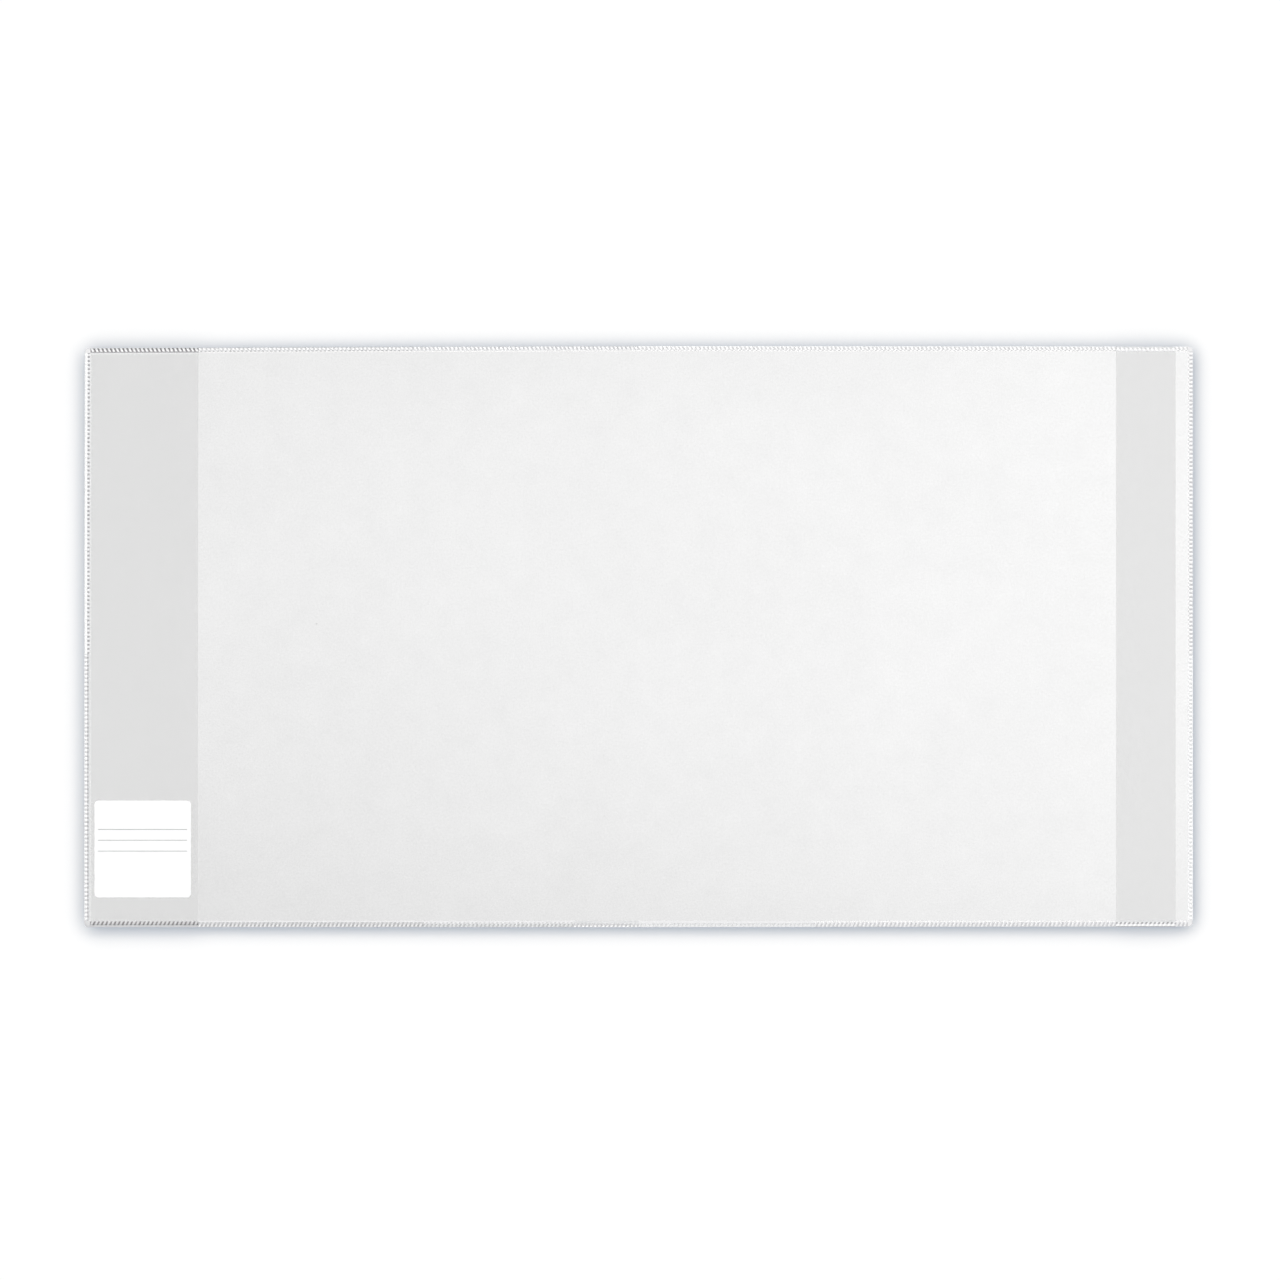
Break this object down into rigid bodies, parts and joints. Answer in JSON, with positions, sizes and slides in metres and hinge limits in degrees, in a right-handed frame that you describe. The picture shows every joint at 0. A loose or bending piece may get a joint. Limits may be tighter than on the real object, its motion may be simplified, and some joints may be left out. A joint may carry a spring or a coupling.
{
  "type": "school book cover",
  "caption": "Clear film cover that folds round a school book, with a welded pocket flap, a back band, a ribbed edge weld and a paper name label.",
  "frame": {"origin": "under the middle of the open cover, on the surface it lies on", "axes": "+X from the front board's side to the back board's side, +Y up the page, +Z away from the surface, with the inside of the cover up"},
  "size_m": [0.54, 0.283, 0.001],
  "materials": {
    "cover_film": "clear film with a fine matt grain",
    "pocket_film": "smooth clear film",
    "edge_weld": "film pressed into fine slanted ribs",
    "label_paper": "smooth matt white paper"
  },
  "bodies": {
    "back_panel": {"back_panel_film": "cover_film", "back_board_band": "pocket_film", "back_top_weld": "edge_weld", "back_bottom_weld": "edge_weld", "back_band_top_weld": "edge_weld", "back_band_bottom_weld": "edge_weld", "back_corner_top_weld": "edge_weld", "back_corner_bottom_weld": "edge_weld", "back_edge_weld": "edge_weld"},
    "spine": {"spine_film": "cover_film", "spine_top_weld": "edge_weld", "spine_bottom_weld": "edge_weld"},
    "front_panel": {"front_panel_film": "cover_film", "front_pocket_flap": "pocket_film", "front_edge_weld": "edge_weld", "front_pocket_top_weld": "edge_weld", "front_pocket_bottom_weld": "edge_weld", "front_top_weld": "edge_weld", "front_bottom_weld": "edge_weld", "name_label": "label_paper"}
  },
  "joints": [
    {"name": "spine_fold", "type": "hinge", "parent": "back_panel", "child": "spine", "pos_m": [0.0125, 0, 0.00045], "axis": [0, 1, 0], "range_deg": [0, 90]},
    {"name": "front_fold", "type": "hinge", "parent": "spine", "child": "front_panel", "pos_m": [-0.0125, 0, 0.00045], "axis": [0, 1, 0], "range_deg": [0, 90]}
  ]
}
